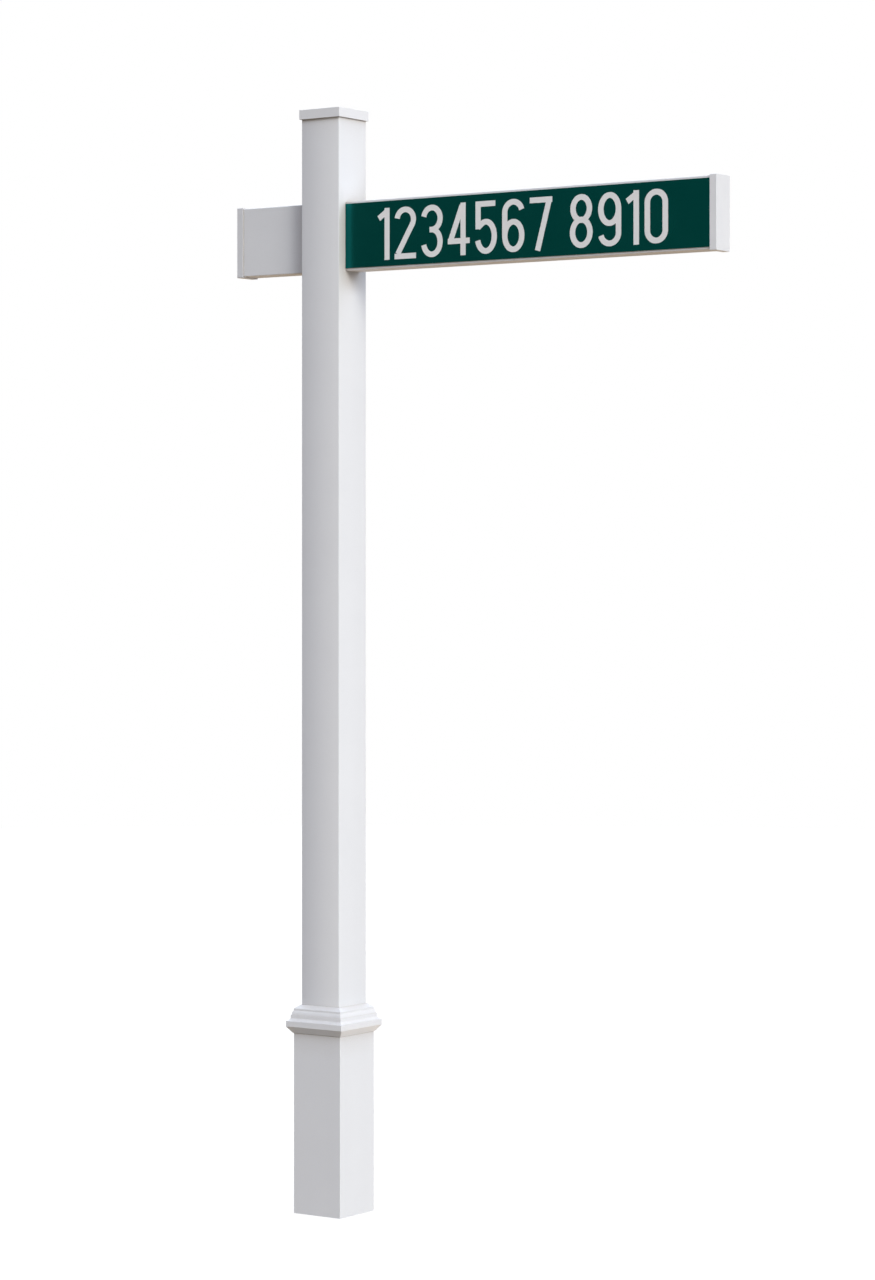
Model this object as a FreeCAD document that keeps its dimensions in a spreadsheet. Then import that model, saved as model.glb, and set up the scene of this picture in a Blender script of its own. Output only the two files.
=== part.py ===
import FreeCAD, Part
import math
import os
import Sketcher

# A decorative vinyl street name sign. A hollow square post stands in a wider square sleeve, a stepped
# moulded collar closes the step between them, and one hollow rail passes through two windows near the
# top of the post. The long side of the rail carries a sign panel on each face.
#
# Frame: the origin is the axis of the post at ground level, +Z is up and +X runs along the sign side
# of the rail, so the front panel faces -Y. Sizes are in millimetres.

doc = FreeCAD.newDocument("street_name_sign")

# Driving sizes, one row of the sheet each: name, value, what it is
SIZES = (
    ("post_width", 101.6, "outer width of the square post"),
    ("post_wall", 3.8, "wall of the post"),
    ("post_corner", 1.0, "outer corner radius of the post"),
    ("post_bore_corner", 2.0, "inner corner radius of the post"),
    ("post_length", 2438.4, "post from the ground to its top end"),
    ("cap_wall", 2.6, "skirt wall of the post cap"),
    ("cap_gap", 1.8, "space between the post and the skirt, bridged by ribs"),
    ("cap_plate", 3.0, "top plate of the post cap"),
    ("cap_depth", 21.0, "whole height of the post cap"),
    ("cap_corner", 1.2, "outer corner radius of the post cap"),
    ("cap_edge", 0.8, "rounding of the post cap's top edge"),
    ("cap_rib", 2.0, "thickness of a rib inside the post cap"),
    ("cap_rib_spread", 56.0, "distance between the two ribs on one side"),
    ("cap_rib_lead", 3.0, "ribs stop this far short of the rim"),
    ("sleeve_width", 127.0, "outer width of the square base sleeve"),
    ("sleeve_wall", 3.8, "wall of the base sleeve"),
    ("sleeve_corner", 1.0, "outer corner radius of the base sleeve"),
    ("sleeve_bore_corner", 2.0, "inner corner radius of the base sleeve"),
    ("sleeve_height", 406.4, "base sleeve from the ground to its top end"),
    ("spacer_height", 25.4, "height of the spacer ring at the foot"),
    ("spacer_wall", 2.4, "walls and floor of the spacer ring"),
    ("spacer_gap", 0.3, "clearance of the spacer ring to the post and the sleeve"),
    ("collar_gap", 0.4, "clearance of the collar to the post and the sleeve"),
    ("collar_wall", 2.6, "shell thickness of the collar"),
    ("collar_lap", 7.4, "collar reaches this far below the top of the sleeve"),
    ("collar_rim", 1.2, "thickness of the collar's bottom rim"),
    ("collar_bevel_rise", 14.5, "height of the bevel under the band"),
    ("collar_width", 152.4, "outer width across the band, the widest part"),
    ("collar_band", 12.1, "height of the band"),
    ("collar_ledge", 1.2, "flat step on top of the band"),
    ("collar_cove_rise", 6.4, "height of the hollow cove above the band"),
    ("collar_cove_bulge", 1.0, "depth of the cove behind its chord"),
    ("collar_fascia_width", 137.0, "outer width across the fascia"),
    ("collar_fascia", 7.0, "height of the fascia above the cove"),
    ("collar_quirk", 1.5, "small step between the fascia and the ovolo"),
    ("collar_ovolo_run", 3.4, "depth of the rounded ovolo"),
    ("collar_ovolo_rise", 10.0, "height of the ovolo"),
    ("collar_ovolo_bulge", 0.8, "swell of the ovolo in front of its chord"),
    ("collar_riser", 3.9, "height of the upright riser above the ovolo"),
    ("collar_wash_rise", 8.2, "height of the wash, the sloping top of the collar"),
    ("collar_lip", 1.2, "width of the flat lip round the post"),
    ("collar_corner", 1.2, "rounding of the upright corners of the collar's band"),
    ("collar_rib", 2.4, "thickness of a rib inside the collar"),
    ("collar_rib_spread", 60.0, "distance between the two ribs on one side"),
    ("arm_width", 50.8, "thickness of the rail, front to back"),
    ("arm_height", 152.4, "height of the rail"),
    ("arm_wall", 2.8, "wall of the rail"),
    ("arm_web", 2.0, "thickness of the webs inside the rail"),
    ("arm_corner", 2.0, "outer corner radius of the rail"),
    ("arm_cell_corner", 1.2, "corner radius of the cells inside the rail"),
    ("arm_length", 1240.0, "length of the rail"),
    ("arm_tail", 247.5, "stub end of the rail, measured from the axis of the post"),
    ("arm_drop", 203.2, "top of the rail below the top end of the post"),
    ("window_gap", 0.4, "clearance of the rail in the windows of the post"),
    ("end_wall", 2.0, "skirt wall of an end cap"),
    ("end_gap", 0.4, "clearance between the rail and the skirt of an end cap"),
    ("end_plate", 2.6, "end plate of an end cap"),
    ("end_depth", 16.0, "whole length of an end cap along the rail"),
    ("end_corner", 1.6, "outer corner radius of an end cap"),
    ("end_edge", 0.8, "rounding of the rim of the end plate"),
    ("panel_thick", 1.6, "thickness of a sign panel"),
    ("panel_margin", 5.1, "lip of bare rail above and below a panel"),
    ("panel_gap", 0.5, "clearance of a panel to the post and to the end cap"),
    ("panel_corner", 1.0, "corner radius of a sign panel"),
)

sheet = doc.addObject("Spreadsheet::Sheet", "Sizes")
for row, (alias, value, note) in enumerate(SIZES, start=1):
    sheet.set(f"A{row}", note)
    sheet.set(f"B{row}", str(value))
    sheet.setAlias(f"B{row}", alias)
doc.recompute()

# Places that several pieces share
ARM_MIDDLE = "Sizes.post_length - Sizes.arm_drop - Sizes.arm_height / 2"
ARM_BOTTOM = "Sizes.post_length - Sizes.arm_drop - Sizes.arm_height"
END_SKIRT = "Sizes.end_depth - Sizes.end_plate"
COLLAR_FOOT = "Sizes.sleeve_height - Sizes.collar_lap"

HALF_TURN = FreeCAD.Rotation(FreeCAD.Vector(0, 0, 1), 180)
ORIGIN = -1
START, END, CENTRE = 1, 2, 3
# two places closer than this are the same place
TOUCH = 0.01


def amount(expression):
    """Value of an expression on the sheet, in millimetres."""
    return float(sheet.evalExpression(expression.replace("Sizes.", "")))


def bind(item, **expressions):
    """Bind properties of a document object to expressions on the sheet."""
    for name, expression in expressions.items():
        item.setExpression(name, expression)


def place(item, x="0", y="0", z="0", rotation=None):
    """Bind the position of a piece; a rotation is fixed."""
    item.Placement = FreeCAD.Placement(FreeCAD.Vector(), rotation or FreeCAD.Rotation())
    for axis, expression in zip("xyz", (x, y, z)):
        item.setExpression(f"Placement.Base.{axis}", expression)


def origin_plane(body, role):
    return next(f for f in body.Origin.OriginFeatures if f.Role == role)


def new_body(name):
    body = doc.addObject("PartDesign::Body", name)
    body.Label = name
    return body


def new_sketch(body, role, name, lift=None):
    """Sketch on an origin plane of its own body, moved along the plane's normal by lift."""
    sketch = body.newObject("Sketcher::SketchObject", name)
    sketch.AttachmentSupport = [(origin_plane(body, role), "")]
    sketch.MapMode = "FlatFace"
    if lift:
        sketch.setExpression("AttachmentOffset.Base.z", lift)
    doc.recompute()
    return sketch


def constrain(sketch, kind, *places, to=None):
    """Add a constraint, with its size bound to an expression where it has one."""
    if to is None:
        return sketch.addConstraint(Sketcher.Constraint(kind, *places))
    index = sketch.addConstraint(Sketcher.Constraint(kind, *places, amount(to)))
    sketch.setExpression(f"Constraints[{index}]", to)
    return index


def add_rounded_rectangle(sketch, width, height, radius, middle_x="0", middle_y="0"):
    """Rectangle with four equal round corners, its sizes and its middle given as expressions."""
    half_w, half_h, r = amount(width) / 2, amount(height) / 2, amount(radius)
    mx, my = amount(middle_x), amount(middle_y)
    x0, x1, y0, y1 = mx - half_w, mx + half_w, my - half_h, my + half_h
    corners = ((x1 - r, y0 + r, -90), (x1 - r, y1 - r, 0), (x0 + r, y1 - r, 90), (x0 + r, y0 + r, 180))
    sides = (
        ((x0 + r, y0), (x1 - r, y0)),
        ((x1, y0 + r), (x1, y1 - r)),
        ((x1 - r, y1), (x0 + r, y1)),
        ((x0, y1 - r), (x0, y0 + r)),
    )
    lines = []
    arcs = []
    for start, end in sides:
        segment = Part.LineSegment(FreeCAD.Vector(*start), FreeCAD.Vector(*end))
        lines.append(sketch.addGeometry(segment, False))
    for cx, cy, angle in corners:
        circle = Part.Circle(FreeCAD.Vector(cx, cy, 0), FreeCAD.Vector(0, 0, 1), r)
        quarter = Part.ArcOfCircle(circle, math.radians(angle), math.radians(angle + 90))
        arcs.append(sketch.addGeometry(quarter, False))
    for index in range(4):
        constrain(sketch, "Tangent", lines[index], END, arcs[index], START)
        constrain(sketch, "Tangent", arcs[index], END, lines[(index + 1) % 4], START)
        constrain(sketch, "Vertical" if index % 2 else "Horizontal", lines[index])
    for arc in arcs[1:]:
        constrain(sketch, "Equal", arcs[0], arc)
    constrain(sketch, "Radius", arcs[0], to=radius)
    constrain(sketch, "DistanceX", lines[3], START, lines[1], END, to=width)
    constrain(sketch, "DistanceY", lines[0], START, lines[2], END, to=height)
    low_x = f"({middle_x}) - ({width}) / 2 + ({radius})"
    low_y = f"({middle_y}) - ({height}) / 2 + ({radius})"
    constrain(sketch, "DistanceX", ORIGIN, START, arcs[3], CENTRE, to=low_x)
    constrain(sketch, "DistanceY", ORIGIN, START, arcs[3], CENTRE, to=low_y)


def add_outline(sketch, points, swells=None):
    """Closed outline through points, each a pair of expressions. A swell turns the side that starts at
    its point into an arc that stands that far in front of its chord, to the right of the way round."""
    swells = swells or {}
    vectors = [FreeCAD.Vector(amount(x), amount(y), 0) for x, y in points]
    ends = []
    for index, start in enumerate(vectors):
        end = vectors[(index + 1) % len(vectors)]
        if index in swells:
            chord = end - start
            swell = amount(swells[index])
            side = FreeCAD.Vector(chord.y, -chord.x, 0).normalize() * swell
            curve = sketch.addGeometry(Part.Arc(start, (start + end) / 2 + side, end), False)
        else:
            curve = sketch.addGeometry(Part.LineSegment(start, end), False)
        # an arc drawn clockwise is stored with its ends swapped
        swapped = sketch.getPoint(curve, START).distanceToPoint(start) > start.distanceToPoint(end) / 2
        ends.append((curve, END, START) if swapped else (curve, START, END))
    for index, (curve, first, last) in enumerate(ends):
        following, following_first, _ = ends[(index + 1) % len(ends)]
        constrain(sketch, "Coincident", curve, last, following, following_first)
        x, y = points[index]
        constrain(sketch, "DistanceX", ORIGIN, START, curve, first, to=x)
        constrain(sketch, "DistanceY", ORIGIN, START, curve, first, to=y)
        if index in swells:
            (x0, y0), (x1, y1) = points[index], points[(index + 1) % len(points)]
            size = f"abs({swells[index]})"
            chord = f"(({x1}) - ({x0}))^2 + (({y1}) - ({y0}))^2"
            constrain(sketch, "Radius", curve, to=f"({chord}) / (8 * {size}) + {size} / 2")


def pad(body, sketch, name, length):
    feature = body.newObject("PartDesign::Pad", name)
    feature.Profile = sketch
    bind(feature, Length=length)
    sketch.Visibility = False
    doc.recompute()
    return feature


def pocket(body, sketch, name, length=None, reverse=False):
    """Pocket to a depth, or both ways through everything where no depth is given."""
    before = body.Shape.Volume
    feature = body.newObject("PartDesign::Pocket", name)
    feature.Profile = sketch
    if length is None:
        feature.Type = "ThroughAll"
        feature.Midplane = True
    else:
        bind(feature, Length=length)
        feature.Reversed = reverse
    sketch.Visibility = False
    doc.recompute()
    if not feature.Shape.Volume < before:
        raise RuntimeError(f"{name} cuts nothing")
    return feature


def round_edges(body, base, name, radius, wanted):
    """Fillet the edges of a feature that the test wanted picks."""
    edges = [f"Edge{number}" for number, edge in enumerate(base.Shape.Edges, start=1) if wanted(edge)]
    feature = body.newObject("PartDesign::Fillet", name)
    feature.Base = (base, edges)
    bind(feature, Radius=radius)
    doc.recompute()
    return feature


def square_tube(name, width, corner, wall, bore_corner, length):
    """Square extrusion with round corners, standing on the ground."""
    body = new_body(name)
    section = new_sketch(body, "XY_Plane", f"{name}_section")
    add_rounded_rectangle(section, width, width, corner)
    bore = f"{width} - 2 * {wall}"
    add_rounded_rectangle(section, bore, bore, bore_corner)
    pad(body, section, f"{name}_extrusion", length)
    return body


def make_post():
    """Post with a routed window in each side face; the rail rests on the sills of both windows."""
    body = square_tube(
        "post", "Sizes.post_width", "Sizes.post_corner", "Sizes.post_wall",
        "Sizes.post_bore_corner", "Sizes.post_length",
    )
    window = new_sketch(body, "YZ_Plane", "arm_window")
    width = "Sizes.arm_width + 2 * Sizes.window_gap"
    height = "Sizes.arm_height + Sizes.window_gap"
    middle = f"{ARM_BOTTOM} + ({height}) / 2"
    add_rounded_rectangle(window, width, height, "Sizes.arm_corner", middle_y=middle)
    pocket(body, window, "arm_windows")
    return body


def make_post_cap():
    """Flat cap: a shell whose plate rests on the end of the post and whose ribs grip its faces."""
    body = new_body("post_cap")
    inside = "Sizes.post_width + 2 * Sizes.cap_gap"
    outside = f"{inside} + 2 * Sizes.cap_wall"
    skirt = "Sizes.cap_depth - Sizes.cap_plate"
    block = new_sketch(body, "XY_Plane", "cap_outline", lift=f"-({skirt})")
    add_rounded_rectangle(block, outside, outside, "Sizes.cap_corner")
    blank = pad(body, block, "cap_block", "Sizes.cap_depth")
    top = amount("Sizes.cap_plate")
    rounded = round_edges(
        body, blank, "cap_top_rounding", "Sizes.cap_edge", lambda edge: edge.BoundBox.ZMin > top - TOUCH
    )
    body.Tip = rounded
    hollow = new_sketch(body, "XY_Plane", "cap_hollow_outline")
    add_rounded_rectangle(hollow, inside, inside, "Sizes.cap_corner / 2")
    pocket(body, hollow, "cap_hollow", skirt)
    # each rib runs from the face of the post into the skirt
    ribs = new_sketch(body, "XY_Plane", "cap_rib_outline")
    near = "Sizes.post_width / 2"
    far = f"({outside}) / 2 - Sizes.cap_wall / 2"
    for side in ("1", "-1"):
        low = f"{side} * Sizes.cap_rib_spread / 2 - Sizes.cap_rib / 2"
        high = f"{side} * Sizes.cap_rib_spread / 2 + Sizes.cap_rib / 2"
        add_outline(ribs, ((near, low), (far, low), (far, high), (near, high)))
    rib_pad = pad(body, ribs, "cap_ribs", f"{skirt} - Sizes.cap_rib_lead")
    rib_pad.Reversed = True
    doc.recompute()
    around = body.newObject("PartDesign::PolarPattern", "cap_ribs_on_four_sides")
    around.Originals = [rib_pad]
    around.Axis = (next(f for f in body.Origin.OriginFeatures if f.Role == "Z_Axis"), [""])
    around.Angle = 360
    around.Occurrences = 4
    body.Tip = around
    place(body, z="Sizes.post_length")
    return body


def make_base_sleeve():
    return square_tube(
        "base_sleeve", "Sizes.sleeve_width", "Sizes.sleeve_corner", "Sizes.sleeve_wall",
        "Sizes.sleeve_bore_corner", "Sizes.sleeve_height",
    )


def make_sleeve_spacer():
    """Channel-section ring that fills the space between the post and the sleeve at the ground."""
    body = new_body("sleeve_spacer")
    outside = "Sizes.sleeve_width - 2 * Sizes.sleeve_wall - 2 * Sizes.spacer_gap"
    inside = "Sizes.post_width + 2 * Sizes.spacer_gap"
    ring = new_sketch(body, "XY_Plane", "spacer_outline")
    add_rounded_rectangle(ring, outside, outside, "Sizes.sleeve_bore_corner")
    add_rounded_rectangle(ring, inside, inside, "Sizes.post_corner")
    pad(body, ring, "spacer_ring", "Sizes.spacer_height")
    channel = new_sketch(body, "XY_Plane", "spacer_channel_outline", lift="Sizes.spacer_height")
    channel_out = f"{outside} - 2 * Sizes.spacer_wall"
    channel_in = f"{inside} + 2 * Sizes.spacer_wall"
    add_rounded_rectangle(channel, channel_out, channel_out, "Sizes.sleeve_bore_corner")
    add_rounded_rectangle(channel, channel_in, channel_in, "Sizes.post_corner")
    pocket(body, channel, "spacer_channel", "Sizes.spacer_height - Sizes.spacer_wall")
    return body


# Half widths and heights of the collar's profile. Its heights start at its bottom rim.
POST_BORE = "(Sizes.post_width / 2 + Sizes.collar_gap)"
SLEEVE_BORE = "(Sizes.sleeve_width / 2 + Sizes.collar_gap)"
RIM_OUT = f"({SLEEVE_BORE} + Sizes.collar_rim)"
BAND_OUT = "(Sizes.collar_width / 2)"
BEVEL_RUN = f"({BAND_OUT} - {RIM_OUT})"
BEVEL_SLANT = f"sqrt({BEVEL_RUN}^2 + Sizes.collar_bevel_rise^2)"
COVE_OUT = f"({BAND_OUT} - Sizes.collar_ledge)"
FASCIA_OUT = "(Sizes.collar_fascia_width / 2)"
OVOLO_OUT = f"({FASCIA_OUT} - Sizes.collar_quirk)"
RISER_OUT = f"({OVOLO_OUT} - Sizes.collar_ovolo_run)"
LIP_OUT = f"({POST_BORE} + Sizes.collar_lip)"
SEAT_Z = "Sizes.collar_lap"
BAND_Z = "Sizes.collar_bevel_rise"
LEDGE_Z = f"({BAND_Z} + Sizes.collar_band)"
COVE_Z = f"({LEDGE_Z} + Sizes.collar_cove_rise)"
FASCIA_Z = f"({COVE_Z} + Sizes.collar_fascia)"
OVOLO_Z = f"({FASCIA_Z} + Sizes.collar_ovolo_rise)"
RISER_Z = f"({OVOLO_Z} + Sizes.collar_riser)"
TOP_Z = f"({RISER_Z} + Sizes.collar_wash_rise)"


def mitred_ring(name, points, swells):
    """Sweep a profile round the post with mitred corners, as a moulding goes round a frame."""
    body = new_body(name)
    route = new_sketch(body, "XY_Plane", f"{name}_route")
    # the route starts in the middle of a side, so no profile stands in a corner
    route_points = (
        (POST_BORE, "0"), (POST_BORE, POST_BORE), (f"-{POST_BORE}", POST_BORE),
        (f"-{POST_BORE}", f"-{POST_BORE}"), (POST_BORE, f"-{POST_BORE}"),
    )
    add_outline(route, route_points)
    profile = new_sketch(body, "XZ_Plane", f"{name}_profile")
    add_outline(profile, points, swells)
    sweep = body.newObject("PartDesign::AdditivePipe", f"{name}_moulding")
    sweep.Profile = profile
    sweep.Spine = (route, [])
    sweep.Transition = "Right corner"
    route.Visibility = profile.Visibility = False
    doc.recompute()
    place(body, z=COLLAR_FOOT)
    return body


def is_band_corner(edge):
    """True for one of the four upright corner edges of the collar's band."""
    middle = edge.CenterOfMass
    return min(abs(middle.x), abs(middle.y)) > amount(BAND_OUT) - TOUCH


def make_base_collar():
    """Moulded shell collar. It sits on the end of the sleeve with eight ribs, which also centre it."""
    blank = mitred_ring(
        "collar_blank",
        (
            (POST_BORE, SEAT_Z),
            (SLEEVE_BORE, SEAT_Z),
            (SLEEVE_BORE, "0"),
            (RIM_OUT, "0"),
            (BAND_OUT, BAND_Z),
            (BAND_OUT, LEDGE_Z),
            (COVE_OUT, LEDGE_Z),
            (FASCIA_OUT, COVE_Z),
            (FASCIA_OUT, FASCIA_Z),
            (OVOLO_OUT, FASCIA_Z),
            (RISER_OUT, OVOLO_Z),
            (RISER_OUT, RISER_Z),
            (LIP_OUT, TOP_Z),
            (POST_BORE, TOP_Z),
        ),
        {6: "-Sizes.collar_cove_bulge", 9: "Sizes.collar_ovolo_bulge"},
    )
    rounded = round_edges(blank, blank.Tip, "collar_rounding", "Sizes.collar_corner", is_band_corner)
    blank.Tip = rounded
    doc.recompute()
    wall = "Sizes.collar_wall"
    slope = f"atan({BEVEL_RUN} / Sizes.collar_bevel_rise)"
    rim_in_z = f"({wall} * {BEVEL_SLANT} - Sizes.collar_rim * Sizes.collar_bevel_rise) / {BEVEL_RUN}"
    hollow = mitred_ring(
        "collar_hollow",
        (
            (POST_BORE, SEAT_Z),
            (SLEEVE_BORE, SEAT_Z),
            (SLEEVE_BORE, rim_in_z),
            (f"{BAND_OUT} - {wall}", f"{BAND_Z} + {wall} * tan({slope} / 2)"),
            (f"{BAND_OUT} - {wall}", f"{LEDGE_Z} - {wall}"),
            (f"{FASCIA_OUT} - {wall}", COVE_Z),
            (f"{FASCIA_OUT} - {wall}", f"{FASCIA_Z} - {wall}"),
            (f"{OVOLO_OUT} - {wall}", f"{FASCIA_Z} - {wall} / 2"),
            (f"{RISER_OUT} - {wall}", f"{OVOLO_Z} - {wall} / 3"),
            (f"{RISER_OUT} - {wall}", f"{RISER_Z} - {wall} / 2"),
            (POST_BORE, f"{TOP_Z} - {wall}"),
        ),
        {4: "-Sizes.collar_cove_bulge", 7: "Sizes.collar_ovolo_bulge"},
    )
    bars = []
    for along in "xy":
        for side in (1, -1):
            bar = doc.addObject("Part::Box", f"collar_rib_bar_{along}_{'low' if side < 0 else 'high'}")
            long_size, thin_size = ("Length", "Width") if along == "x" else ("Width", "Length")
            bind(bar, Height=TOP_Z)
            bar.setExpression(long_size, "Sizes.collar_width")
            bar.setExpression(thin_size, "Sizes.collar_rib")
            middle = "-Sizes.collar_width / 2"
            shift = f"{side} * Sizes.collar_rib_spread / 2 - Sizes.collar_rib / 2"
            x, y = (middle, shift) if along == "x" else (shift, middle)
            place(bar, x=x, y=y, z=COLLAR_FOOT)
            bars.append(bar)
    lattice = doc.addObject("Part::MultiFuse", "collar_rib_lattice")
    lattice.Shapes = bars
    chambers = doc.addObject("Part::Cut", "collar_chambers")
    chambers.Base = hollow
    chambers.Tool = lattice
    collar = doc.addObject("Part::Cut", "base_collar")
    collar.Label = "base_collar"
    collar.Base = blank
    collar.Tool = chambers
    doc.recompute()
    if not collar.Shape.Volume < blank.Shape.Volume:
        raise RuntimeError("the collar is not hollow")
    return collar


def make_sign_arm():
    """Hollow rail in one length, with two webs inside, resting in the windows of the post."""
    body = new_body("sign_arm")
    section = new_sketch(body, "YZ_Plane", "arm_section")
    add_rounded_rectangle(section, "Sizes.arm_width", "Sizes.arm_height", "Sizes.arm_corner")
    cell_width = "Sizes.arm_width - 2 * Sizes.arm_wall"
    cell_height = "(Sizes.arm_height - 2 * Sizes.arm_wall - 2 * Sizes.arm_web) / 3"
    for step in (-1, 0, 1):
        middle = f"{step} * ({cell_height} + Sizes.arm_web)"
        add_rounded_rectangle(section, cell_width, cell_height, "Sizes.arm_cell_corner", middle_y=middle)
    pad(body, section, "arm_extrusion", "Sizes.arm_length")
    place(body, x="-Sizes.arm_tail", z=ARM_MIDDLE)
    return body


def make_arm_end_cap(name, x, rotation=None):
    """Cap over one end of the rail. Its own frame starts at the end of the rail, with +X outwards."""
    body = new_body(name)
    outside = "2 * (Sizes.end_gap + Sizes.end_wall)"
    block = new_sketch(body, "YZ_Plane", f"{name}_outline", lift=f"-({END_SKIRT})")
    width, height = f"Sizes.arm_width + {outside}", f"Sizes.arm_height + {outside}"
    add_rounded_rectangle(block, width, height, "Sizes.end_corner")
    blank = pad(body, block, f"{name}_block", "Sizes.end_depth")
    face = amount("Sizes.end_plate")
    rounded = round_edges(
        body, blank, f"{name}_rounding", "Sizes.end_edge", lambda edge: edge.BoundBox.XMin > face - TOUCH
    )
    body.Tip = rounded
    hollow = new_sketch(body, "YZ_Plane", f"{name}_hollow_outline")
    inner_width = "Sizes.arm_width + 2 * Sizes.end_gap"
    inner_height = "Sizes.arm_height + 2 * Sizes.end_gap"
    add_rounded_rectangle(hollow, inner_width, inner_height, "Sizes.arm_corner")
    pocket(body, hollow, f"{name}_hollow", END_SKIRT)
    place(body, x=x, z=ARM_MIDDLE, rotation=rotation)
    return body


def make_sign_panel(name, y, rotation=None):
    """Flat panel bonded to one face of the rail, between the post and the end cap."""
    body = new_body(name)
    post_side = "(Sizes.post_width / 2 + Sizes.panel_gap)"
    cap_side = f"(Sizes.arm_length - Sizes.arm_tail - ({END_SKIRT}) - Sizes.panel_gap)"
    outline = new_sketch(body, "XZ_Plane", f"{name}_outline")
    length, height = f"{cap_side} - {post_side}", "Sizes.arm_height - 2 * Sizes.panel_margin"
    add_rounded_rectangle(outline, length, height, "Sizes.panel_corner")
    pad(body, outline, f"{name}_sheet", "Sizes.panel_thick")
    place(body, x=f"({cap_side} + {post_side}) / 2", y=y, z=ARM_MIDDLE, rotation=rotation)
    return body


def check(pieces):
    """Stop if any object failed or any piece is not one valid solid."""
    for item in doc.Objects:
        if "Invalid" in item.State or "Error" in item.State:
            raise RuntimeError(f"{item.Name} failed: {item.State}")
    for piece in pieces:
        shape = piece.Shape
        if shape.isNull() or not shape.isValid() or len(shape.Solids) != 1:
            raise RuntimeError(f"{piece.Label} is not one valid solid")


pieces = (
    make_post(),
    make_post_cap(),
    make_base_sleeve(),
    make_sleeve_spacer(),
    make_base_collar(),
    make_sign_arm(),
    make_arm_end_cap("arm_end_cap_long", "Sizes.arm_length - Sizes.arm_tail"),
    make_arm_end_cap("arm_end_cap_stub", "-Sizes.arm_tail", HALF_TURN),
    make_sign_panel("sign_panel_front", "-Sizes.arm_width / 2"),
    make_sign_panel("sign_panel_back", "Sizes.arm_width / 2", HALF_TURN),
)
doc.recompute()
check(pieces)

os.makedirs("parts", exist_ok=True)
for piece in pieces:
    piece.Shape.exportStep(f"parts/{piece.Label}.step")
    box = piece.Shape.optimalBoundingBox()
    corners = [round(c, 1) for c in (box.XMin, box.YMin, box.ZMin, box.XMax, box.YMax, box.ZMax)]
    print(piece.Label, corners, f"{piece.Shape.Volume / 1000:.1f} cm3")
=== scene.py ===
import math

import bpy
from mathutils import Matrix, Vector
from mathutils.geometry import delaunay_2d_cdt


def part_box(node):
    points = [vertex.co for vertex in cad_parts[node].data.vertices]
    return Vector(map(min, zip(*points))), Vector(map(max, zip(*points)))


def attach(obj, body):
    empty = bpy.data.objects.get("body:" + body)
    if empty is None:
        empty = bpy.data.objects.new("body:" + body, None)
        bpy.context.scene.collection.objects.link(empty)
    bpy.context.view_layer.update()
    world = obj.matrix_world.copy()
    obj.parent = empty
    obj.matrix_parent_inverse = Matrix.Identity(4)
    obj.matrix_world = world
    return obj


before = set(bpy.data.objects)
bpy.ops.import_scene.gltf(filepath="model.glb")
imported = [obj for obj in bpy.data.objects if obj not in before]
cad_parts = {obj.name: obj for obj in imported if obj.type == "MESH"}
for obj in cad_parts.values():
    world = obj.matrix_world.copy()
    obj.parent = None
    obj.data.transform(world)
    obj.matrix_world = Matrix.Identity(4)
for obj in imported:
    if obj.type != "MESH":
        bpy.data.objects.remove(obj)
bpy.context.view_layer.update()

# The looks of the street name sign: the solids of the frame with their finishes, numerals of film on both
# panels, a pale floor, soft light and the photograph's camera. Sizes are in metres. Colours are linear
# shares of red, green and blue.

# Camera of the photograph: where it stands round the post, how far it is turned from facing the post's
# axis, and what its lens shows
PHOTO_HEIGHT_PX = 1280
CAMERA_DISTANCE = 7.9278
CAMERA_ROUND = math.radians(36.37)
CAMERA_TURN = math.radians(-1.66)
CAMERA_HEIGHT = 1.42
FOCAL_PX = 3572.8
HORIZON_PX = 571.5
SENSOR_MM = 36.0
CLIP_START = 0.1

# Light from all round, made of soft lights. Each has the direction it comes from (degrees round the post
# from the front towards the right, and degrees up), its width in degrees, and how much red, green and
# blue light it gives a surface that faces it
SOFT_LIGHTS = {
    "main, from the right": (66.5, 23, 12, (0.667, 0.632, 0.562)),
    "low on the right": (62.5, -15, 14, (0.245, 0.265, 0.288)),
    "high on the left": (340, 53, 21, (0.383, 0.422, 0.503)),
    "low on the left": (343, -18, 17, (0.086, 0.061, 0.032)),
    "behind, on the right": (114, 20, 14, (0.235, 0.246, 0.275)),
    "high behind": (155, 43, 17, (0.18, 0.20, 0.23)),
    "behind, on the left": (222, 40, 18, (0.36, 0.42, 0.48)),
    "below": (190, -60, 28, (0.530, 0.395, 0.255)),
    "broad, from the back left": (244, 36, 39, (0.20, 0.20, 0.205)),
    "overhead": (0, 90, 30, (0.08, 0.08, 0.08)),
}
LIGHT_EVEN = 0.02

# Floor and white backdrop, and how far the camera sees, which is past the far side of the backdrop
FLOOR_RADIUS = 12.0
FLOOR_SIDES = 96
FLOOR_DIFFUSE = 0.12
FLOOR_GLOW = 0.93
DOME_RADIUS = 40.0
DOME_SEGMENTS = 48
DOME_RINGS = 24
DOME_DIFFUSE = 0.0
DOME_GLOW = 1.0
CLIP_END = 2.5 * DOME_RADIUS

# Numbers of the axis that points up, along the post and the sleeve, and of the axis along the rail
UP_AXIS = 2
RAIL_AXIS = 0

# Values that noise mostly stays between
NOISE_LOW = 0.3
NOISE_HIGH = 0.7

# Cells of noise are counted to the metre. A pair of numbers is for noise that is drawn out along an axis:
# first the cells across the axis, then those along it. Relief is the height in metres of one unit of noise

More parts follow.
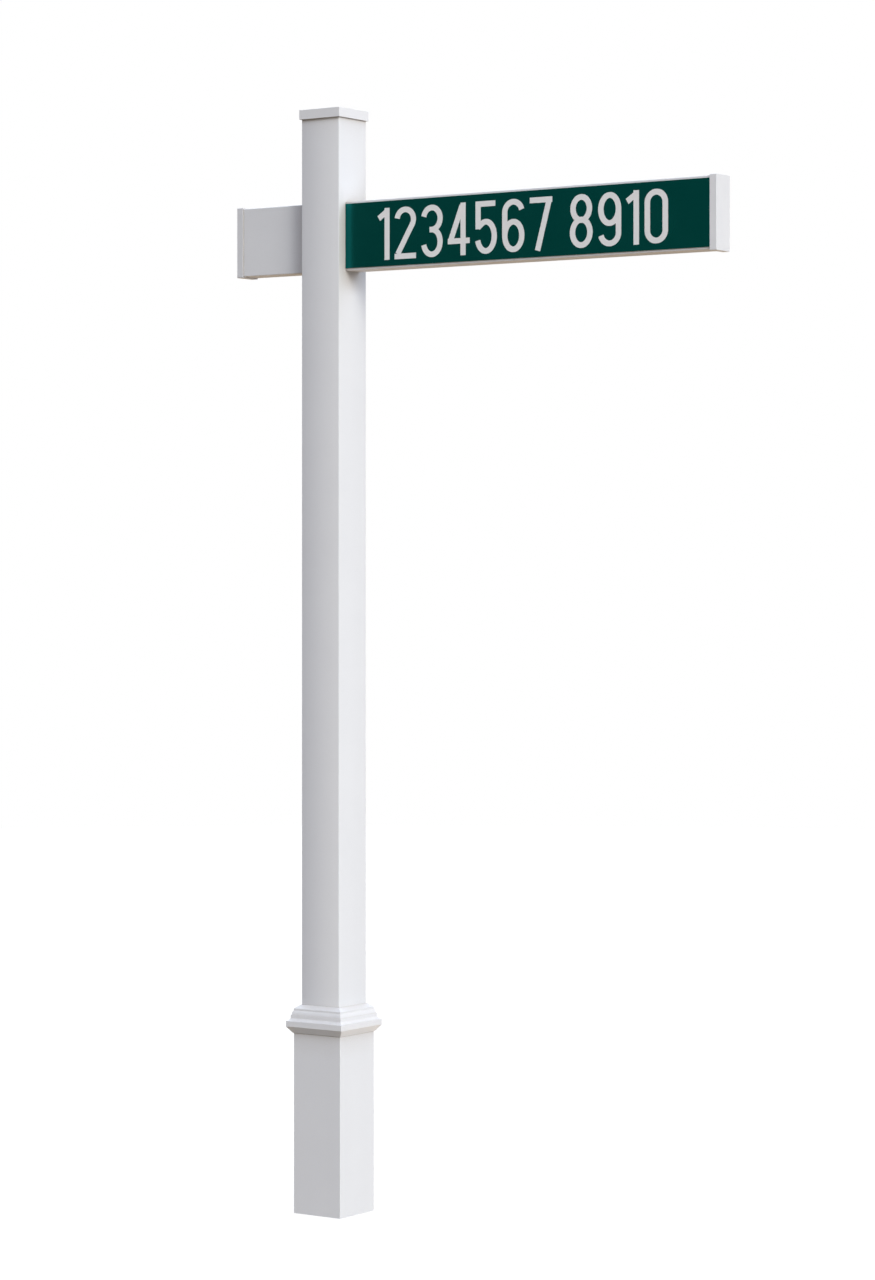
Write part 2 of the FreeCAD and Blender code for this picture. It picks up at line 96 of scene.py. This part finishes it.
# Extruded vinyl: fine die lines and broader streaks along the extrusion, and clouds of two shades of white
DIE_LINE_CELLS = (900.0, 1.5)
DIE_LINE_RELIEF = 0.000006
STREAK_CELLS = (60.0, 0.6)
STREAK_RELIEF = 0.00002
CLOUD_CELLS = 9.0
EXTRUDED_WHITES = ((0.795, 0.810, 0.851), (0.812, 0.827, 0.867))
EXTRUDED_ROUGHNESS = (0.30, 0.42)
VINYL_IOR = 1.53

# Moulded vinyl: an even grain, and the marks of its flow, a little longer upwards
MOULD_GRAIN_CELLS = 1400.0
MOULD_GRAIN_RELIEF = 0.00001
FLOW_CELLS = (45.0, 25.0)
FLOW_RELIEF = 0.00006
MOULDED_WHITES = ((0.798, 0.810, 0.848), (0.820, 0.830, 0.866))
MOULDED_ROUGHNESS = (0.38, 0.50)

# Share of these whites that each kind of piece keeps
SLEEVE_WHITENESS = 0.99
RAIL_WHITENESS = 0.955
MOULDED_WHITENESS = 0.985
END_CAP_WHITENESS = 0.965

# Soft forms that are in the shading alone. The post's front and back fall away from their middle by the
# crown times the square of the distance in metres, and its sides by a share of that. The faces of the
# rail's end caps lean by the draft, which is height over length
POST_CROWN = 1.7
SIDE_CROWN_SHARE = 0.3
END_CAP_DRAFT = 0.08

# Painted shade, a darker and warmer colour in corners and under ledges: how far away a surface still
# shelters a point, the number of rays that look for shelter, the open share at which the painted shade
# is full and the one at which there is none, its tint, and how much of it the end caps get. Faces open
# upwards get less of it, so the rays are sent round a direction that is tilted up from the normal, by
# adding this much of straight up to it
SHADE_REACH = 0.055
SHADE_SAMPLES = 8
SHADE_FULL = 0.35
SHADE_NONE = 0.95
PAINTED_SHADE_TINT = (0.62, 0.555, 0.485)
END_CAP_SHADE = 0.6
SHADE_TILT = 0.5

# Spacer of light grey plastic
SPACER_GRAIN_CELLS = 900.0
SPACER_GRAIN_RELIEF = 0.00003
SPACER_GREYS = ((0.58, 0.59, 0.61), (0.66, 0.67, 0.69))
SPACER_ROUGHNESS = (0.50, 0.62)

# Panel: green gloss sheeting with a fine orange peel and the slow ripple of the sheet under it. The sheet's
# metal is bare on the edges, where the part of the normal along Y is less than the limit
PEEL_CELLS = 380.0
PEEL_RELIEF = 0.0000025
RIPPLE_CELLS = 14.0
RIPPLE_RELIEF = 0.00003
PANEL_GREENS = ((0.0, 0.0365, 0.0303), (0.0008, 0.0400, 0.0333))
PANEL_ROUGHNESS = (0.23, 0.27)
SHEETING_IOR = 1.9
SHEETING_GLOSS_TINT = (0.0, 0.95, 1.0)
BARE_METAL = (0.62, 0.63, 0.64)
BARE_LIMIT = 0.5

# Film of the numerals: fine beads under a clear face
BEAD_CELLS = 2200.0
BEAD_RELIEF = 0.000004
FILM_CLOUD_CELLS = 22.0
FILM_WHITES = ((0.86, 0.86, 0.87), (0.89, 0.89, 0.90))
FILM_ROUGHNESS = (0.32, 0.42)
FILM_THICKNESS = 0.0001

# Numerals: their sizes, how far the text starts from the panel's end on the reader's left and from its
# lower edge, and the steps that an arc is drawn in
NUMERALS = "1234567 8910"
GLYPH_HEIGHT = 0.1135
GLYPH_WIDTH = 0.057
NARROW_WIDTH = 0.030
STROKE_UPRIGHT = 0.0135
STROKE_LEVEL = 0.012
GLYPH_GAP = 0.0135
WORD_GAP = 0.044
TEXT_START = 0.0894
TEXT_LIFT = 0.0133
ARC_STEP = math.radians(9.0)

# Points that are closer than this are one point
SAME_POINT = 1e-6

# Output type of delaunay_2d_cdt that fills the whole hull of the points with triangles
WHOLE_HULL = 0

# Sides of the sign, as the way along Y that they face
FRONT = -1
BACK = 1


def operation_node(tree, kind, operation, values):
    """Node that does an operation; each value is set on an input, or linked if it is a node's output."""
    node = tree.nodes.new(kind)
    node.operation = operation
    for socket, value in zip(node.inputs, values):
        if isinstance(value, bpy.types.NodeSocket):
            tree.links.new(value, socket)
        else:
            socket.default_value = value
    return node


def math_node(tree, operation, *values):
    """Result of a math node, whose values are numbers or outputs."""
    return operation_node(tree, "ShaderNodeMath", operation, values).outputs["Value"]


def vector_node(tree, operation, *values):
    """Result of a vector math node, whose values are vectors or outputs."""
    node = operation_node(tree, "ShaderNodeVectorMath", operation, values)
    return node.outputs["Value" if operation == "DOT_PRODUCT" else "Vector"]


def parts_of(tree, vector):
    """The X, Y and Z of a vector."""
    split = tree.nodes.new("ShaderNodeSeparateXYZ")
    tree.links.new(vector, split.inputs["Vector"])
    return split.outputs


def frame_point(tree):
    """The shaded point in the object's own coordinates, which are the frame's."""
    return tree.nodes.new("ShaderNodeTexCoord").outputs["Object"]


def noise(tree, cells, along=UP_AXIS, detail=2.0):
    """Noise with one number of cells, or with a pair: the cells across an axis and those along it."""
    across, lengthwise = cells if isinstance(cells, tuple) else (cells, cells)
    scale = [across, across, across]
    scale[along] = lengthwise
    mapping = tree.nodes.new("ShaderNodeMapping")
    mapping.inputs["Scale"].default_value = scale
    tree.links.new(frame_point(tree), mapping.inputs["Vector"])
    texture = tree.nodes.new("ShaderNodeTexNoise")
    texture.inputs["Scale"].default_value = 1.0
    texture.inputs["Detail"].default_value = detail
    tree.links.new(mapping.outputs["Vector"], texture.inputs["Vector"])
    return texture.outputs["Fac"]


def number_between(tree, factor, limits):
    """Number that runs between two limits as noise does between its usual values."""
    node = tree.nodes.new("ShaderNodeMapRange")
    node.inputs["From Min"].default_value = NOISE_LOW
    node.inputs["From Max"].default_value = NOISE_HIGH
    node.inputs["To Min"].default_value, node.inputs["To Max"].default_value = limits
    tree.links.new(factor, node.inputs["Value"])
    return node.outputs["Result"]


def colour_between(tree, factor, colours, low=NOISE_LOW, high=NOISE_HIGH):
    """Colour that runs from the first to the second as the factor runs from low to high."""
    ramp = tree.nodes.new("ShaderNodeValToRGB")
    for element, position, colour in zip(ramp.color_ramp.elements, (low, high), colours):
        element.position = position
        element.color = (*colour, 1)
    tree.links.new(factor, ramp.inputs["Fac"])
    return ramp.outputs["Color"]


def mixed_colour(tree, first, second, blend_type="MIX"):
    """Mix node with its first and second colour; returns the node, whose factor is still to be set."""
    node = tree.nodes.new("ShaderNodeMix")
    node.data_type = "RGBA"
    node.blend_type = blend_type
    for socket, value in ((node.inputs["A"], first), (node.inputs["B"], second)):
        if isinstance(value, bpy.types.NodeSocket):
            tree.links.new(value, socket)
        else:
            socket.default_value = (*value, 1)
    return node


def new_material(name):
    """Material with a Principled shader; returns the material, its tree and the shader."""
    material = bpy.data.materials.new(name)
    material.use_nodes = True
    tree = material.node_tree
    shader = next(node for node in tree.nodes if node.type == "BSDF_PRINCIPLED")
    return material, tree, shader


def set_surface(tree, shader, colour, roughness, *layers):
    """Link a shader's colour, roughness and relief; each layer is a height and the metres of one unit."""
    tree.links.new(colour, shader.inputs["Base Color"])
    tree.links.new(roughness, shader.inputs["Roughness"])
    normal = None
    for height, distance in layers:
        bump = tree.nodes.new("ShaderNodeBump")
        bump.inputs["Distance"].default_value = distance
        tree.links.new(height, bump.inputs["Height"])
        if normal is not None:
            tree.links.new(normal, bump.inputs["Normal"])
        normal = bump.outputs["Normal"]
    tree.links.new(normal, shader.inputs["Normal"])


def crown_height(tree):
    """Height that falls with the square of the distance from the middle of each face of the post."""
    x, y, _ = parts_of(tree, frame_point(tree))
    x_square = math_node(tree, "MULTIPLY", x, x)
    y_square = math_node(tree, "MULTIPLY", y, y)
    square = math_node(tree, "MULTIPLY_ADD", y_square, SIDE_CROWN_SHARE, x_square)
    return math_node(tree, "MULTIPLY", square, -1.0)


def draft_height(tree):
    """Height that falls along the rail, away from the post's axis on both sides."""
    x, _, _ = parts_of(tree, frame_point(tree))
    return math_node(tree, "MULTIPLY", math_node(tree, "ABSOLUTE", x), -1.0)


def with_painted_shade(tree, colour, share=1.0):
    """Colour that a share of painted shade turns darker and warmer in corners and under ledges."""
    normal = tree.nodes.new("ShaderNodeNewGeometry").outputs["True Normal"]
    raised = vector_node(tree, "ADD", normal, (0, 0, SHADE_TILT))
    openness = tree.nodes.new("ShaderNodeAmbientOcclusion")
    openness.samples = SHADE_SAMPLES
    openness.inputs["Distance"].default_value = SHADE_REACH
    tree.links.new(vector_node(tree, "NORMALIZE", raised), openness.inputs["Normal"])
    # painted shade: the colour turns darker and warmer where little of the surroundings is open
    painted_shade = colour_between(tree, openness.outputs["AO"], (PAINTED_SHADE_TINT, (1, 1, 1)), SHADE_FULL, SHADE_NONE)
    product = mixed_colour(tree, colour, painted_shade, "MULTIPLY")
    product.inputs["Factor"].default_value = share
    return product.outputs["Result"]


def dulled(colours, whiteness):
    """Colours that keep a share of their light."""
    return [[channel * whiteness for channel in colour] for colour in colours]


def extruded_vinyl(name, along, whiteness=1.0, crown=0.0):
    """White rigid vinyl with faint lines along the extrusion, painted shade in corners, and crowned faces if
    asked for.
    """
    material, tree, shader = new_material(name)
    die_lines = noise(tree, DIE_LINE_CELLS, along)
    streaks = noise(tree, STREAK_CELLS, along, detail=3.0)
    clouds = noise(tree, CLOUD_CELLS, detail=4.0)
    white = colour_between(tree, clouds, dulled(EXTRUDED_WHITES, whiteness))
    layers = [(crown_height(tree), crown)] if crown else []
    layers += [(die_lines, DIE_LINE_RELIEF), (streaks, STREAK_RELIEF)]
    roughness = number_between(tree, streaks, EXTRUDED_ROUGHNESS)
    # the white gets painted shade in corners and under ledges
    set_surface(tree, shader, with_painted_shade(tree, white), roughness, *layers)
    shader.inputs["IOR"].default_value = VINYL_IOR
    return material


def moulded_vinyl(name, whiteness, painted_shade=1.0, draft=0.0):
    """White injection-moulded vinyl: satin, fine even grain, painted shade in corners, faces that lean if
    asked for.
    """
    material, tree, shader = new_material(name)
    grain = noise(tree, MOULD_GRAIN_CELLS, detail=1.0)
    flow = noise(tree, FLOW_CELLS, detail=3.0)
    white = colour_between(tree, flow, dulled(MOULDED_WHITES, whiteness))
    layers = [(draft_height(tree), draft)] if draft else []
    layers += [(grain, MOULD_GRAIN_RELIEF), (flow, FLOW_RELIEF)]
    roughness = number_between(tree, grain, MOULDED_ROUGHNESS)
    # the white gets a share of painted shade in corners and under ledges
    set_surface(tree, shader, with_painted_shade(tree, white, painted_shade), roughness, *layers)
    shader.inputs["IOR"].default_value = VINYL_IOR
    return material


def spacer_plastic():
    """Light grey moulded plastic with a coarse grain."""
    material, tree, shader = new_material("spacer_plastic")
    grain = noise(tree, SPACER_GRAIN_CELLS)
    grey = colour_between(tree, grain, SPACER_GREYS)
    roughness = number_between(tree, grain, SPACER_ROUGHNESS)
    set_surface(tree, shader, grey, roughness, (grain, SPACER_GRAIN_RELIEF))
    return material


def green_panel():
    """Deep green gloss sheeting on aluminium sheet, whose bare metal shows on the thin edges."""
    material, tree, shader = new_material("green_panel")
    ripple = noise(tree, RIPPLE_CELLS)
    peel = noise(tree, PEEL_CELLS, detail=1.0)
    green = colour_between(tree, ripple, PANEL_GREENS)
    _, y, _ = parts_of(tree, tree.nodes.new("ShaderNodeNewGeometry").outputs["True Normal"])
    bare = math_node(tree, "LESS_THAN", math_node(tree, "ABSOLUTE", y), BARE_LIMIT)
    tree.links.new(bare, shader.inputs["Metallic"])
    mix = mixed_colour(tree, green, BARE_METAL)
    tree.links.new(bare, mix.inputs["Factor"])
    roughness = number_between(tree, peel, PANEL_ROUGHNESS)
    layers = [(peel, PEEL_RELIEF), (ripple, RIPPLE_RELIEF)]
    set_surface(tree, shader, mix.outputs["Result"], roughness, *layers)
    shader.inputs["IOR"].default_value = SHEETING_IOR
    shader.inputs["Specular Tint"].default_value = (*SHEETING_GLOSS_TINT, 1)
    return material


def numeral_film():
    """White cut film with fine beads and a slightly uneven gloss."""
    material, tree, shader = new_material("numeral_film")
    beads = noise(tree, BEAD_CELLS, detail=1.0)
    clouds = noise(tree, FILM_CLOUD_CELLS, detail=3.0)
    white = colour_between(tree, clouds, FILM_WHITES)
    roughness = number_between(tree, beads, FILM_ROUGHNESS)
    set_surface(tree, shader, white, roughness, (beads, BEAD_RELIEF))
    return material


def dress_solids():
    """Give each solid of the frame its finish."""
    moulded = moulded_vinyl("moulded_vinyl", MOULDED_WHITENESS)
    # the end caps get a smaller share of the painted shade
    end_cap = moulded_vinyl("moulded_vinyl_end_cap", END_CAP_WHITENESS, END_CAP_SHADE, END_CAP_DRAFT)
    panel = green_panel()
    finishes = {
        "post": extruded_vinyl("extruded_vinyl_post", UP_AXIS, crown=POST_CROWN),
        "base_sleeve": extruded_vinyl("extruded_vinyl_sleeve", UP_AXIS, SLEEVE_WHITENESS),
        "sign_arm": extruded_vinyl("extruded_vinyl_rail", RAIL_AXIS, RAIL_WHITENESS),
        "post_cap": moulded,
        "base_collar": moulded,
        "arm_end_cap_long": end_cap,
        "arm_end_cap_stub": end_cap,
        "sleeve_spacer": spacer_plastic(),
        "sign_panel_front": panel,
        "sign_panel_back": panel,
    }
    for node_name, material in finishes.items():
        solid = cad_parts[node_name]
        solid.data.materials.clear()
        solid.data.materials.append(material)


def arc(middle_x, middle_y, radius_x, radius_y, start, stop):
    """Points of an elliptical arc, its angles in degrees and anticlockwise from the right."""
    first, last = math.radians(start), math.radians(stop)
    steps = max(2, math.ceil(abs(last - first) / ARC_STEP))
    angles = [first + (last - first) * step / steps for step in range(steps + 1)]
    return [(middle_x + radius_x * math.cos(a), middle_y + radius_y * math.sin(a)) for a in angles]


# A glyph is drawn on the middle lines of its strokes, in a box that runs from 0 to 1 both ways. Side and
# rise are how far the outside of a stroke lies beyond that box. Round is the radius, in heights of the box,
# of an end that is a half circle in life, and bowl is half the height of the bowl of the six
SIDE = STROKE_UPRIGHT / 2 / (GLYPH_WIDTH - STROKE_UPRIGHT)
RISE = STROKE_LEVEL / 2 / (GLYPH_HEIGHT - STROKE_LEVEL)
LEFT, RIGHT, FOOT, HEAD = -SIDE, 1 + SIDE, -RISE, 1 + RISE
ROUND = (GLYPH_WIDTH - STROKE_UPRIGHT) / (GLYPH_HEIGHT - STROKE_LEVEL) / 2
BOWL = 0.29
SIX = (
    [(0, BOWL)] + arc(0.5, 1 - ROUND, 0.5, ROUND, 180, 12),
    arc(0.5, BOWL, 0.5, BOWL, 0, 360),
)

# Each numeral is a few strokes, as points of their middle lines
STROKES = {
    "0": (
        arc(0.5, 1 - ROUND, 0.5, ROUND, 0, 180) + arc(0.5, ROUND, 0.5, ROUND, 180, 360) + [(1, 1 - ROUND)],
    ),
    "1": ([(1, FOOT), (1, HEAD)], [(-0.35, 0.84), (1, 0.985)]),
    "2": (arc(0.5, 1 - ROUND, 0.5, ROUND, 172, -28) + [(0.04, 0.05)], [(LEFT, 0), (RIGHT, 0)]),
    "3": (
        arc(0.5, 0.765, 0.5, 0.235, 168, -90) + [(0.36, 0.53)],
        [(0.36, 0.53)] + arc(0.5, 0.265, 0.5, 0.265, 90, -168),
    ),
    "4": ([(0.76, FOOT), (0.76, HEAD)], [(LEFT, 0.25), (RIGHT, 0.25)], [(0.70, 1.0), (0.01, 0.26)]),
    "5": (
        [(0.04, HEAD), (0.04, 0.47)],
        [(0.04 - SIDE, 1), (1.06, 1)],
        [(0.04, 0.51)] + arc(0.5, 0.31, 0.5, 0.31, 125, -165),
    ),
    "6": SIX,
    "7": ([(LEFT, 1), (RIGHT, 1)], [(0.98, 1.0), (0.30, FOOT)]),
    "8": (arc(0.5, 0.76, 0.47, 0.24, 0, 360), arc(0.5, 0.265, 0.5, 0.265, 0, 360)),
    "9": tuple([(1 - x, 1 - y) for x, y in stroke] for stroke in SIX),
}


def ribbon(points):
    """Quads along a stroke, as four corners each. Level strokes are a little thinner than upright ones."""
    closed = (points[0] - points[-1]).length < SAME_POINT
    edges = []
    for index, point in enumerate(points):
        before = points[index - 1] if index else points[-2 if closed else 0]
        after = points[index + 1] if index + 1 < len(points) else points[1 if closed else -1]
        along = (after - before).normalized()
        half = (STROKE_LEVEL + (STROKE_UPRIGHT - STROKE_LEVEL) * abs(along.y)) / 2
        across = Vector((-along.y, along.x)) * half
        edges.append((point + across, point - across))
    return [(a[0], a[1], b[1], b[0]) for a, b in zip(edges, edges[1:])]


def numeral_quads(text):
    """Quads of all strokes of a text, from its lower left corner."""
    quads = []
    start = 0.0
    for character in text:
        if character == " ":
            start += WORD_GAP - GLYPH_GAP
            continue
        width = NARROW_WIDTH if character == "1" else GLYPH_WIDTH
        scale = Vector((width - STROKE_UPRIGHT, GLYPH_HEIGHT - STROKE_LEVEL))
        corner = Vector((start + STROKE_UPRIGHT / 2, STROKE_LEVEL / 2))
        for stroke in STROKES[character]:
            quads += ribbon([corner + Vector((x * scale.x, y * scale.y)) for x, y in stroke])
        start += width + GLYPH_GAP
    return quads


def flat_union(quads):
    """Points and triangles of the area that the quads cover together."""
    points = [corner for quad in quads for corner in quad]
    faces = [tuple(range(4 * index, 4 * index + 4)) for index in range(len(quads))]
    joined, _, triangles, _, _, sources = delaunay_2d_cdt(points, [], faces, WHOLE_HULL, SAME_POINT)
    return joined, [t for t, covered_by in zip(triangles, sources) if covered_by]


def film_mesh(name, points, triangles, place):
    """Closed sheet of film; place turns a point of the text and a height above the panel into the frame."""
    used = sorted({index for triangle in triangles for index in triangle})
    renumbered = {index: number for number, index in enumerate(used)}
    count = len(used)
    vertices = [place(points[index], height) for height in (0.0, FILM_THICKNESS) for index in used]
    lower = [tuple(renumbered[index] for index in triangle) for triangle in triangles]
    faces = [tuple(reversed(triangle)) for triangle in lower]
    faces += [tuple(index + count for index in triangle) for triangle in lower]
    sides = {(t[i], t[(i + 1) % 3]) for t in lower for i in range(3)}
    faces += [(a, b, b + count, a + count) for a, b in sorted(sides) if (b, a) not in sides]
    mesh = bpy.data.meshes.new(name)
    mesh.from_pydata(vertices, [], faces)
    mesh.validate()
    return mesh


def add_numerals(name, panel, side, film):
    """Numerals of film on the outer face of a panel, the right way round on the front and the back."""
    low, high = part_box(panel)
    face = low[1] if side == FRONT else high[1]
    foot = low[2] + TEXT_LIFT

    def place(point, height):
        along = point[0] + TEXT_START
        x = low[0] + along if side == FRONT else high[0] - along
        return (x, face + side * height, foot + point[1])

    points, triangles = flat_union(numeral_quads(NUMERALS))
    piece = bpy.data.objects.new(name, film_mesh(name, points, triangles, place))
    piece.data.materials.append(film)
    bpy.context.collection.objects.link(piece)
    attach(piece, "root")


def glowing_white(name, diffuse, glow):
    """Matte white that also glows by itself."""
    material, _, shader = new_material(name)
    shader.inputs["Base Color"].default_value = (diffuse, diffuse, diffuse, 1)
    shader.inputs["Roughness"].default_value = 1.0
    shader.inputs["Specular IOR Level"].default_value = 0.0
    shader.inputs["Emission Color"].default_value = (1, 1, 1, 1)
    shader.inputs["Emission Strength"].default_value = glow
    return material


def set_stage(stand, name, material):
    """Make a mesh part of the stage, seen by the camera but kept out of the light that reaches the object."""
    stand.name = name
    stand.data.materials.append(material)
    stand.visible_diffuse = False
    stand.visible_glossy = False
    stand.visible_transmission = False
    stand.visible_volume_scatter = False
    stand.visible_shadow = False


def add_stage():
    """Pale floor under the object and a white dome round it."""
    bpy.ops.mesh.primitive_circle_add(vertices=FLOOR_SIDES, radius=FLOOR_RADIUS, fill_type="NGON")
    set_stage(bpy.context.object, "floor", glowing_white("floor_white", FLOOR_DIFFUSE, FLOOR_GLOW))
    bpy.ops.mesh.primitive_uv_sphere_add(segments=DOME_SEGMENTS, ring_count=DOME_RINGS, radius=DOME_RADIUS)
    set_stage(bpy.context.object, "backdrop", glowing_white("backdrop_white", DOME_DIFFUSE, DOME_GLOW))


def direction_of(turn, rise):
    """Direction from degrees round the post, from the front towards the right, and degrees up."""
    turn, rise = math.radians(turn), math.radians(rise)
    return Vector((math.sin(turn) * math.cos(rise), -math.cos(turn) * math.cos(rise), math.sin(rise)))


def add_light():
    """World light as a smooth function of direction: an even part and the soft lights."""
    world = bpy.data.worlds.new("studio_light")
    bpy.context.scene.world = world
    world.use_nodes = True
    tree = world.node_tree
    direction = tree.nodes.new("ShaderNodeTexCoord").outputs["Generated"]
    total = (LIGHT_EVEN, LIGHT_EVEN, LIGHT_EVEN)
    for turn, rise, width, light in SOFT_LIGHTS.values():
        sharpness = 2 / math.radians(width) ** 2
        facing = vector_node(tree, "DOT_PRODUCT", direction, direction_of(turn, rise))
        fall = math_node(tree, "MULTIPLY_ADD", facing, sharpness, -sharpness)
        # a narrow light is as much brighter as it is smaller
        brightness = Vector(light) * sharpness / 2
        total = vector_node(tree, "MULTIPLY_ADD", math_node(tree, "EXPONENT", fall), brightness, total)
    background = next(node for node in tree.nodes if node.type == "BACKGROUND")
    tree.links.new(total, background.inputs["Color"])


def add_camera():
    """Level camera at the photograph's place; the shift puts the horizon where the photograph has it."""
    data = bpy.data.cameras.new("camera")
    camera = bpy.data.objects.new("camera", data)
    bpy.context.collection.objects.link(camera)
    camera.location = (
        CAMERA_DISTANCE * math.sin(CAMERA_ROUND),
        -CAMERA_DISTANCE * math.cos(CAMERA_ROUND),
        CAMERA_HEIGHT,
    )
    camera.rotation_euler = (math.radians(90), 0, CAMERA_ROUND + CAMERA_TURN)
    data.sensor_width = SENSOR_MM
    data.lens = FOCAL_PX * SENSOR_MM / PHOTO_HEIGHT_PX
    data.shift_y = (HORIZON_PX - PHOTO_HEIGHT_PX / 2) / PHOTO_HEIGHT_PX
    data.clip_start = CLIP_START
    data.clip_end = CLIP_END
    bpy.context.scene.camera = camera


dress_solids()
film = numeral_film()
add_numerals("numerals_front", "sign_panel_front", FRONT, film)
add_numerals("numerals_back", "sign_panel_back", BACK, film)
add_stage()
add_light()
add_camera()
bpy.context.scene.view_settings.view_transform = "Standard"
bpy.context.scene.view_settings.look = "None"
